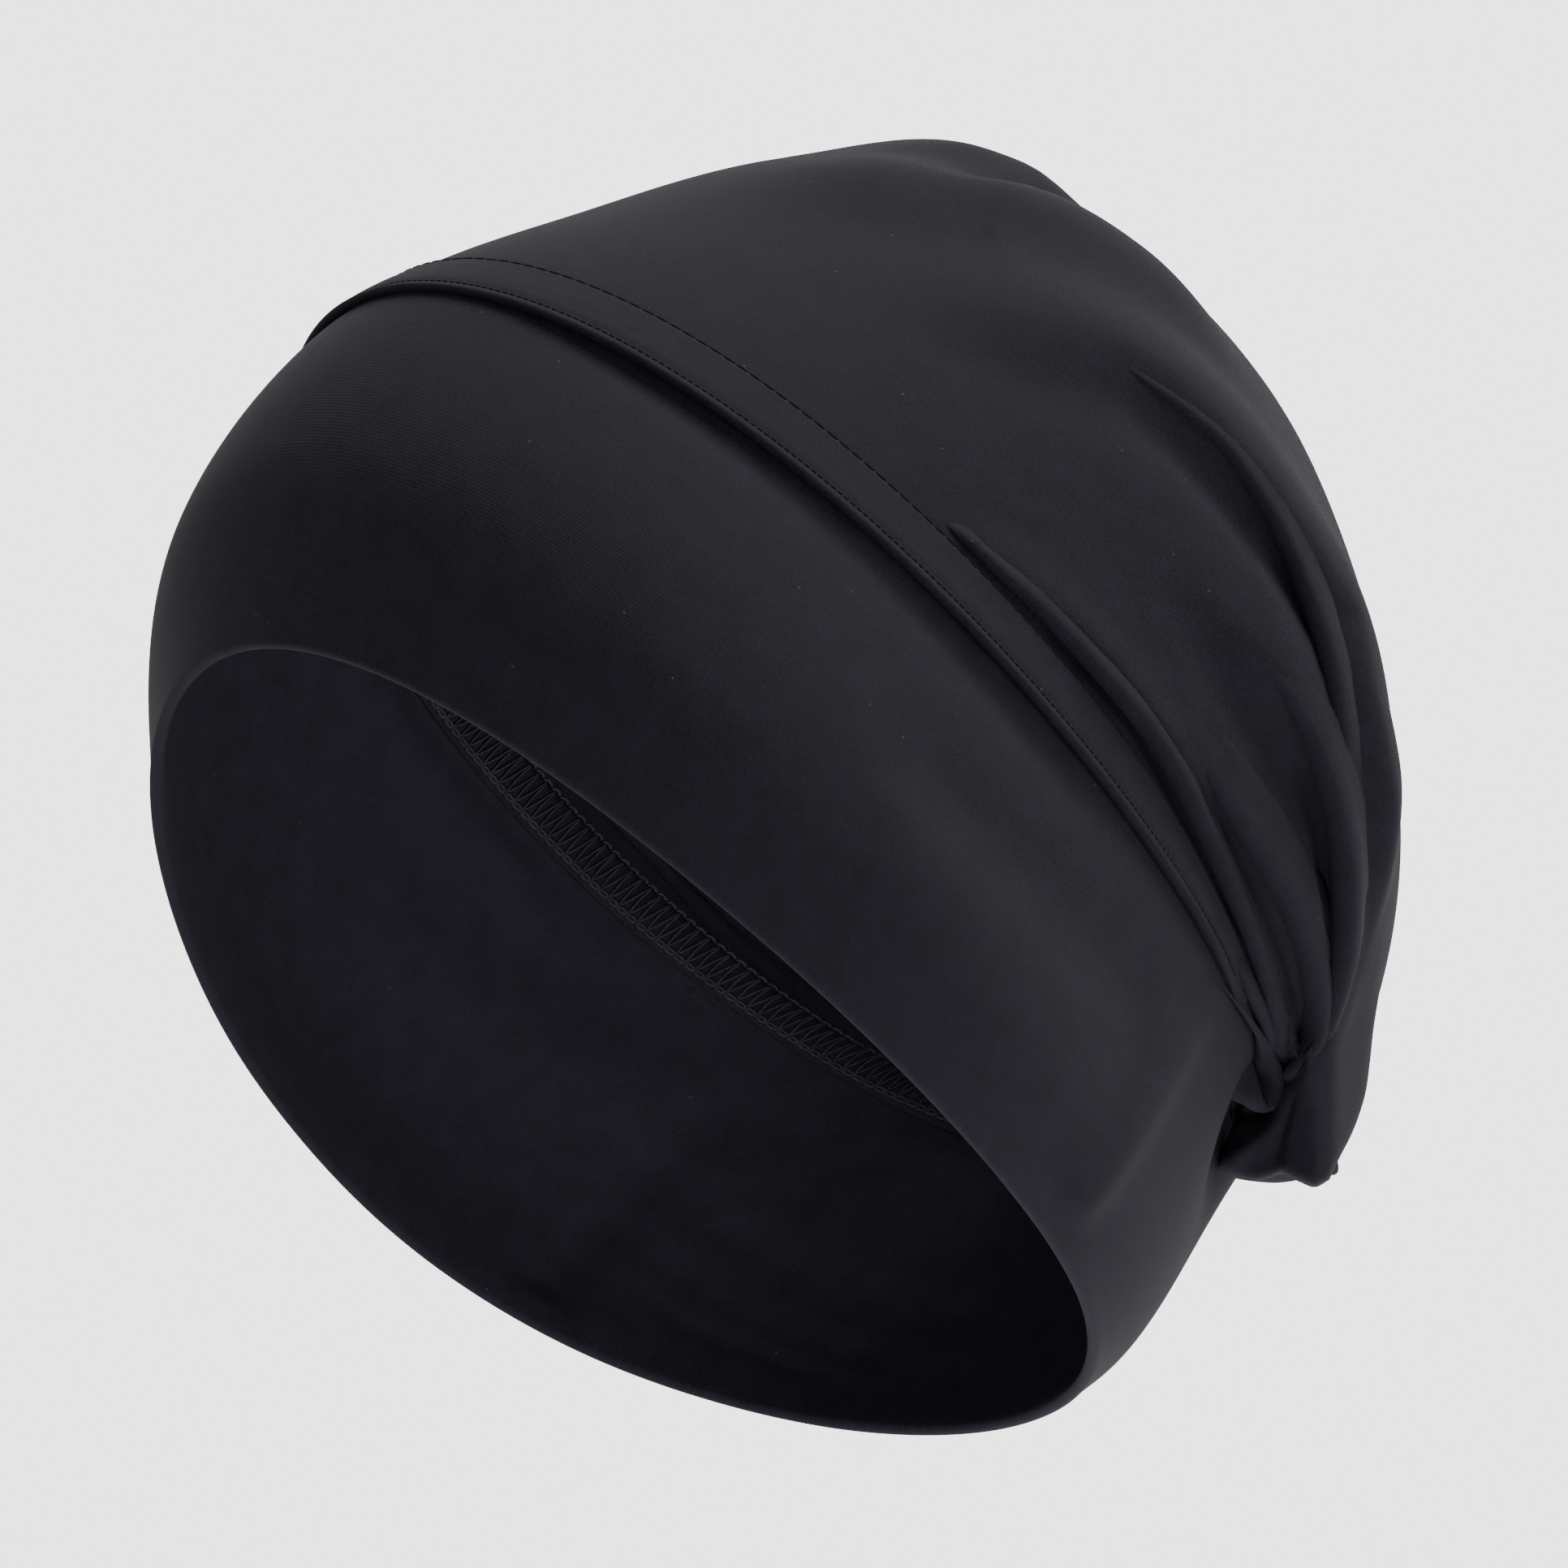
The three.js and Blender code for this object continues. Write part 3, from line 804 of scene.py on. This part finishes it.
allowance = {
    "below": 0.8,
    "above": 9.0,
    "depth": 2.3,
    "thick": 1.5,
    "rows": 9,
    "edges": (0.55, 0.85, 1.0),  # shares of its thickness from each edge inwards
    "pitch": 2.35,
    "thread": 0.42,
}


def makeAllowance():
    angles = clothStations
    lengths = np.linspace(-allowance["below"], allowance["above"], allowance["rows"])
    section = []
    for length in lengths[::-1]:
        p, n, _ = nearSeam(angles, np.full_like(angles, length))
        section.append(p - n * allowance["depth"])
    for k, length in enumerate(lengths):
        p, n, _ = nearSeam(angles, np.full_like(angles, length))
        fullness = allowance["edges"][min(k, len(lengths) - 1 - k, 2)]
        section.append(p - n * (allowance["depth"] + allowance["thick"] * fullness))
    rows = np.array(section)[::-1]
    faces = ringFaces(len(rows), len(angles), True)
    obj = meshFrom("innerSeam", rows.reshape(-1, 3), faces, rowLengths(rows, 0.018))
    # the allowance's darker seam look is painted shade
    return dress(obj, "seam", "inner_seam")


# small parts modelled once and laid along the seam, in millimetres along, up and out


def threadBody(path, thick, sides=6):
    points = smoothLine(path, 3 * len(path))
    run = unit(np.gradient(points, axis=0))
    side = unit(np.cross(run, (0, 0, 1)))
    out = np.cross(side, run)
    turns = np.linspace(0, 2 * math.pi, sides, endpoint=False)
    ring = side[:, None] * np.cos(turns)[None, :, None] + out[:, None] * np.sin(turns)[None, :, None]
    size = np.full(len(points), thick / 2)
    size[[0, -1]] *= 0.4
    rows = points[:, None] + ring * size[:, None, None]
    faces = []
    for r in range(len(points) - 1):
        for k in range(sides):
            m = (k + 1) % sides
            faces.append((r * sides + k, r * sides + m, (r + 1) * sides + m, (r + 1) * sides + k))
    faces.append(tuple(range(sides))[::-1])
    faces.append(tuple((len(points) - 1) * sides + k for k in range(sides)))
    return rows.reshape(-1, 3), faces


def laidAlong(name, bodies, pitch, lastAngle, place, look, node):
    angles = np.linspace(-lastAngle, lastAngle, 2400)
    line = plainSurface(angles, np.full_like(angles, cap["seam"]))
    gone = np.concatenate([[0], np.cumsum(np.linalg.norm(np.diff(line, axis=0), axis=1))])
    count = int(gone[-1] / pitch)
    pitch = gone[-1] / count
    starts = np.arange(count) * pitch
    vertices, faces = [], []
    total = 0
    for body, bodyFaces in bodies:
        along = (starts[:, None] + body[None, :, 0]).ravel()
        angle = np.interp(along, gone, angles)
        up, out = (np.tile(body[:, k], count) for k in (1, 2))
        vertices.append(place(angle, up, out))
        for k in range(count):
            base = total + k * len(body)
            faces.extend(tuple(i + base for i in f) for f in bodyFaces)
        total += count * len(body)
    vertices = np.vstack(vertices)
    obj = meshFrom(name, vertices, faces, vertices[:, :2] * mm)
    faceOut(obj)
    return dress(obj, look, node)


def onStrip(angle, up, out):
    p, n, _ = nearSeam(angle, up)
    return p + n * (strip["clear"] + stripThick(angle, up) + out)[:, None]


def onAllowance(angle, up, out):
    p, n, _ = nearSeam(angle, up)
    return p - n * (allowance["depth"] + allowance["thick"] + out)[:, None]


def makeTopstitch():
    low, long = -strip["below"] + strip["stitchUp"], strip["stitchPitch"] * 0.78
    path = ((0, low, -0.16), (long * 0.3, low, 0.02), (long * 0.7, low, 0.02), (long, low, -0.16))
    body = threadBody(path, strip["stitchThick"])
    laidAlong("topStitch", [body], strip["stitchPitch"], strip["end"] - strip["threadsEnd"], onStrip,
              "shadow", "hem_strip")


# dark thread line where the strip's upper edge is sewn down: real stitches, darker than the cloth as painted
# shade of the thin shadow line along that edge
def makeEdgeShadeStitches():
    path = ((0.0, 0.0, -0.2), (0.5, 0.0, -0.02), (2.0, 0.0, -0.02), (2.5, 0.0, -0.2))
    body = threadBody(path, strip["lineThick"])

    def onEdge(angle, up, out):
        return onStrip(angle, up + stripWidthAt(angle) + 0.12, out)

    laidAlong("edgeShadeStitches", [body], strip["linePitch"], strip["end"] - strip["threadsEnd"], onEdge,
              "shadow", "hem_strip")


# needle threads that rise and fall, a looper thread over the edge and a chain of two below
def makeOverlock():
    p, thick = allowance["pitch"], allowance["thread"]
    low, high, half = 0.35, allowance["above"] - 0.7, allowance["pitch"] / 2
    rise = ((0.0, low, 0.0), (0.12 * p, 1.8, 0.2), (0.3 * p, 4.0, 0.22), (half - 0.1, high, 0.05))
    fall = ((half + 0.1, high, 0.05), (0.66 * p, 4.0, 0.22), (0.8 * p, 1.8, 0.2), (p - 0.1, low, 0.0))
    edge = ((0.05, high + 0.2, 0.0), (0.3 * p, high + 0.62, 0.2), (0.62 * p, high + 0.62, 0.2),
            (p - 0.2, high + 0.1, 0.0))
    chainUp = ((0.0, low - 0.15, 0.0), (0.3 * p, low + 0.12, 0.14), (0.7 * p, low + 0.12, 0.14),
               (p + 0.1, low - 0.15, 0.0))
    chainLow = ((0.0, low - 0.2, 0.0), (0.3 * p, low - 0.5, 0.12), (0.7 * p, low - 0.5, 0.12),
                (p + 0.1, low - 0.2, 0.0))
    bodies = [threadBody(path, thick * share) for path, share in
              ((rise, 1), (fall, 1), (edge, 1.5), (chainUp, 1.3), (chainLow, 1.3))]
    laidAlong("overlockThreads", bodies, p, 179.5, onAllowance, "thread", "inner_seam")


crownObj = makeCrown()
bandObj = makeBand()
stripObj = makeStrip()
makeAllowance()
makeTopstitch()
makeEdgeShadeStitches()
makeOverlock()
print("cloth and stitches made")

# pleats laid over the crown, followed in the picture's own view of 1932 steps a side

sight = {
    "frame": 1932,
    "steps": 90,
    "softened": 60,
    "deepest": 1300,
    "envelopeDraw": 0.45,  # share of the draw to the gathers that the pleats' crests follow
    "envelopeLoops": (1.6, 7.9, 130),
    "envelopeAngles": (-180, 180, 241),
}
crownTree = BVHTree.FromObject(crownObj, bpy.context.evaluated_depsgraph_get())


def gridFaces(rows, count):
    return [(r * count + k, (r + 1) * count + k, (r + 1) * count + k + 1, r * count + k + 1)
            for r in range(rows - 1) for k in range(count - 1)]


def envelopeTree():
    angle, v = np.meshgrid(np.linspace(*sight["envelopeAngles"]), np.linspace(*sight["envelopeLoops"]))
    p = plainSurface(angle, v, sight["envelopeDraw"]) * mm
    return BVHTree.FromPolygons(p.reshape(-1, 3).tolist(), gridFaces(*angle.shape))


envelope = envelopeTree()
camera = bpy.context.scene.camera
bpy.context.view_layer.update()
eye = camera.matrix_world.translation.copy()


def sightLine(x, y):
    half = view["sensor"] / 2 / view["lens"]
    way = Vector(((x / sight["frame"] * 2 - 1) * half, (1 - y / sight["frame"] * 2) * half, -1))
    return (camera.matrix_world.to_3x3() @ way).normalized()


# one pleat: a round lip of some height over its path, with a long slope behind it
pleats = {
    "pleatLow": {
        "path": ((1135, 612), (1176, 655), (1225, 702), (1289, 762), (1369, 848), (1420, 912),
                 (1458, 976), (1489, 1041), (1523, 1114), (1553, 1190), (1573, 1262), (1581, 1318)),
        "height": ((0.0, 1.0), (0.3, 2.6), (0.7, 3.2), (1.0, 2.2)),
        "back": ((0.0, 5.0), (0.4, 5.0), (1.0, 2.4)), "lip": 1.8, "start": 0.14},
    "pleatMiddle": {
        "path": ((1380, 800), (1440, 885), (1497, 976), (1545, 1050), (1584, 1121), (1606, 1186),
                 (1613, 1250), (1603, 1300), (1586, 1332)),
        "height": ((0.0, 0.8), (0.35, 3.2), (0.7, 4.2), (1.0, 2.4)),
        "back": ((0.0, 9.0), (0.5, 11.0), (1.0, 3.0)), "lip": 2.0},
    "pleatHigh": {
        "path": ((1440, 640), (1500, 735), (1552, 817), (1600, 889), (1630, 969), (1646, 1050), (1647, 1120),
                 (1636, 1205), (1616, 1275), (1596, 1330)),
        "height": ((0.0, 0.8), (0.4, 3.4), (0.75, 4.6), (1.0, 3.0)),
        "back": ((0.0, 12.0), (0.5, 11.0), (0.9, 6.0), (1.0, 4.0)), "lip": 2.4, "deepest": 1240},
    "pleatBack": {
        "path": ((1150, 335), (1230, 362), (1305, 405), (1405, 472), (1492, 540), (1555, 625), (1592, 700),
                 (1624, 790), (1645, 882), (1660, 954), (1672, 1020), (1680, 1080)),
        "height": ((0.0, 0.3), (0.4, 2.6), (0.75, 3.4), (1.0, 0.6)),
        "back": ((0.0, 14.0), (0.5, 12.0), (1.0, 4.0)), "lip": 2.2, "end": 0.35},
    "pleatFirst": {
        "path": ((1490, 1124), (1512, 1170), (1533, 1214), (1552, 1255), (1567, 1293), (1576, 1324)),
        "height": ((0.0, 0.4), (0.4, 1.8), (0.7, 2.2), (1.0, 1.6)),
        "back": ((0.0, 3.0), (0.5, 3.6), (1.0, 2.0)), "lip": 1.4, "start": 0.35},
    "hook": {
        "path": ((1440, 1112), (1464, 1150), (1488, 1188), (1512, 1224), (1536, 1260), (1557, 1292),
                 (1569, 1320), (1564, 1343), (1545, 1353), (1526, 1345)),
        "height": ((0.0, 0.2), (0.5, 1.5), (0.8, 3.2), (1.0, 2.6)),
        "back": ((0.0, 7.0), (0.6, 5.0), (0.85, 2.8), (1.0, 2.4)),
        "lip": 1.9, "deepest": 1234, "node": "band", "start": 0.5, "turned": True},
}
# across the pleat: how far, in lips before the crest or backs behind it, and its height
pleatShape = {
    "lip": ((0.15, -0.35), (0.75, -0.05), (1.05, 0.3), (1.0, 0.6), (0.75, 0.86), (0.4, 0.98), (0.0, 1.0)),
    "back": ((-0.12, 0.97), (-0.28, 0.84), (-0.46, 0.62), (-0.66, 0.34), (-0.85, 0.1), (-1.05, -0.12)),
    "start": 0.28,
    "end": 0.06,
    "landed": 0.01,
    "sunk": 0.0012,
    "tucked": 0.0005,
}


def profileAt(pairs, share):
    a, b = zip(*pairs)
    return np.interp(share, a, b)


# a closed soft piece and its mirrored twin on the other side
def addSoft(name, vertices, faces, lengths, node):
    both = np.vstack([vertices, vertices * (-1, 1, 1)])
    flipped = [tuple(i + len(vertices) for i in f)[::-1] for f in faces]
    obj = meshFrom(name, both, faces + flipped, np.vstack([lengths, lengths]))
    faceOut(obj)
    return dress(obj, "outer", node)


def nearestOnCrown(points):
    return np.array([crownTree.find_nearest(Vector(point))[0] for point in points])


# places along the pleat's path on the envelope, with the ways out of it
def followed(look):
    ways, far, ups = [], [], []
    for x, y in smoothLine(look["path"], sight["steps"]):
        way = sightLine(x, y)
        hit, normal, _, distance = envelope.ray_cast(eye, way)
        ways.append(way)
        far.append(distance if hit else far[-1])
        ups.append((normal if normal.dot(way) < 0 else -normal) if hit else ups[-1])
    far = np.minimum(np.array(far), look.get("deepest", sight["deepest"]) * mm)
    far = soften(far[:, None], sight["softened"])
    return np.array(eye) + np.array(ways) * far, unit(soften(np.array(ups), sight["softened"]))


# the way from its crest to its lip, to the left and a little down, or the other way if turned
def lipWays(places, ups, turned):
    side = unit(np.cross(ups, unit(np.gradient(places, axis=0))))
    left = np.array(camera.matrix_world.to_3x3() @ Vector((-1, -0.4, 0)))
    away = side[len(places) // 2] @ left < 0
    return -side if away != turned else side


def makePleat(name, look):
    node = look.get("node", "crown")
    places, ups = followed(look)
    side = lipWays(places, ups, look.get("turned", False))
    share = np.linspace(0, 1, len(places))
    high = profileAt(look["height"], share) * mm
    back = profileAt(look["back"], share) * mm * (0.3 + 0.7 * smoothStep(share, 0, 0.25))
    lip = look["lip"] * mm * np.clip(high / high.max(), 0.05, 1)
    rising = smoothStep(share, 0, look.get("start", pleatShape["start"]))
    ends = rising * smoothStep(1 - share, 0, look.get("end", pleatShape["end"]))
    if node == "crown":
        grown = rising * smoothStep(1 - share, 0, look.get("end", pleatShape["landed"]))
        near = nearestOnCrown(places)
        places = near + (places - near) * grown[:, None]
    sunk = pleatShape["sunk"] * (1 - ends)
    rows = []
    for x, z in pleatShape["lip"]:
        rows.append(places + side * (x * lip)[:, None] + ups * (z * high * ends - sunk)[:, None])
    for x, z in pleatShape["back"]:
        p = places + side * (x * back)[:, None]
        p = soften(p + (nearestOnCrown(p) - p) * smoothStep(-x, 0, 0.9), 4)
        tucked = pleatShape["tucked"] if z < 0 else 0
        rows.append(p + ups * (z * high * ends - sunk - tucked)[:, None])
    rows.append((rows[0] + rows[-1]) / 2 - ups * pleatShape["sunk"])
    rows = np.array(rows)
    faces = tubeFaces(*rows.shape[:2])
    return addSoft(name, rows.reshape(-1, 3) / mm, faces, clothLengths(rows / mm).reshape(-1, 2), node)


# the loose end of the crown below the gather, a soft double sheet with its folds
tail = {
    "left": ((1668, 1130), (1655, 1190), (1640, 1245), (1606, 1296), (1566, 1328), (1532, 1357),
             (1519, 1385), (1508, 1412), (1497, 1438)),
    "right": ((1719, 1105), (1712, 1155), (1702, 1210), (1693, 1265), (1688, 1310), (1682, 1350),
              (1668, 1392), (1650, 1428), (1638, 1454)),
    "hem": ((1497, 1438), (1520, 1449), (1545, 1455), (1563, 1452), (1579, 1447), (1600, 1456), (1620, 1463),
            (1638, 1454)),
    # depth from the eye in millimetres at places across
    "depth": ((1490, 1242), (1520, 1239), (1560, 1236), (1590, 1234), (1620, 1232), (1645, 1234),
              (1680, 1250), (1700, 1260), (1720, 1270)),
    "aboveCrown": 1.4,
    # how far a ridge reaches to its left and to its right, in parts of the picture
    "ridges": (
        {"path": ((1590, 1345), (1572, 1382), (1548, 1406), (1516, 1428)),
         "rise": 2.2, "left": 13, "right": 15},
        {"path": ((1636, 1205), (1616, 1275), (1602, 1335), (1590, 1385), (1581, 1440)),
         "rise": 2.8, "left": 5, "right": 60},
        {"path": ((1560, 1366), (1528, 1372)), "rise": -2.0, "left": 10, "right": 10},
    ),
    "across": 64,
    "down": 56,
    "thick": 7.0,
    "rounded": 0.07,
    "tuckedUnder": 2.5,
}


def ridgeInPicture(x, y, ridge):
    line = smoothLine(ridge["path"], 40)
    acrossGap, downGap = x[..., None] - line[:, 0], y[..., None] - line[:, 1]
    gap = np.hypot(acrossGap, downGap)
    closest = gap.argmin(axis=-1)[..., None]
    onRight = np.take_along_axis(acrossGap, closest, -1)[..., 0] > 0
    reach = np.where(onRight, ridge["right"], ridge["left"])
    return ridge["rise"] * np.exp(-(gap.min(axis=-1) / reach) ** 2)


# picture places over the tail, its lower edge along the hem line
def tailPlaces(down, share):
    left = smoothLine(tail["left"], tail["down"])
    right = smoothLine(tail["right"], tail["down"])
    x = left[:, :1] * (1 - share) + right[:, :1] * share
    y = left[:, 1:] * (1 - share) + right[:, 1:] * share
    hem = smoothLine(tail["hem"], 120)
    low = np.interp(x[-1], hem[:, 0], hem[:, 1])
    return x, y + (low - y[-1])[None, :] * (down[:, None] ** 2)


def softenBoth(rows, rounds):
    return soften(soften(rows, rounds).T.copy(), rounds).T


# depths from the eye: from just under the crown at the top to just over it, nearer at ridges
def tailDepths(x, y, ways, down):
    hits = [[crownTree.ray_cast(eye, Vector(way))[3] for way in row] for row in ways]
    crownDeep = np.array([[np.inf if hit is None else hit / mm for hit in row] for row in hits])
    under, over = tail["tuckedUnder"], tail["aboveCrown"]
    clear = -under + (under + over) * smoothStep(down, 0.0, 0.3)[:, None]
    deep = softenBoth(np.minimum(profileAt(tail["depth"], x), crownDeep - clear), 4)
    short, long, dent = [ridgeInPicture(x, y, ridge) for ridge in tail["ridges"]]
    deep = deep - (np.maximum(short, long) + dent) * smoothStep(down, 0.1, 0.4)[:, None]
    return softenBoth(deep, 1)


# a front and a back grid, joined all round their border
def doubleSheetFaces(rows, count):
    front = gridFaces(rows, count)
    faces = front + [tuple(i + rows * count for i in f)[::-1] for f in front]
    border = [(0, k) for k in range(count)] + [(r, count - 1) for r in range(1, rows)]
    border += [(rows - 1, k) for k in range(count - 2, -1, -1)] + [(r, 0) for r in range(rows - 2, 0, -1)]
    ids = [r * count + k for r, k in border]
    for a, b in zip(ids, ids[1:] + ids[:1]):
        faces.append((a, b, b + rows * count, a + rows * count))
    return faces


def makeTail():
    down = np.linspace(0, 1, tail["down"])
    share = np.linspace(0, 1, tail["across"])[None, :]
    x, y = tailPlaces(down, share)
    ways = np.array([[sightLine(a, b) for a, b in zip(xr, yr)] for xr, yr in zip(x, y)])
    deep = tailDepths(x, y, ways, down)
    edge = np.minimum(np.minimum(share, 1 - share), (1 - down)[:, None] * 1.2)
    full = np.sqrt(np.clip(1 - (1 - np.clip(edge / tail["rounded"], 0, 1)) ** 2, 0, 1))
    half = tail["thick"] / 2
    front = np.array(eye) + ways * ((deep + half * (1 - full))[..., None] * mm)
    back = np.array(eye) + ways * ((deep + half * (1 + full) + 0.02)[..., None] * mm)
    vertices = np.concatenate([front.reshape(-1, 3), back.reshape(-1, 3)]) / mm
    lengths = clothLengths(front / mm).reshape(-1, 2)
    return addSoft("tail", vertices, doubleSheetFaces(*x.shape), np.vstack([lengths, lengths]), "crown")


crownFolds = [makeTail()]
for pleatName, pleatLook in pleats.items():
    fold = makePleat(pleatName, pleatLook)
    if pleatLook.get("node") != "band":
        crownFolds.append(fold)
print("pleats laid")
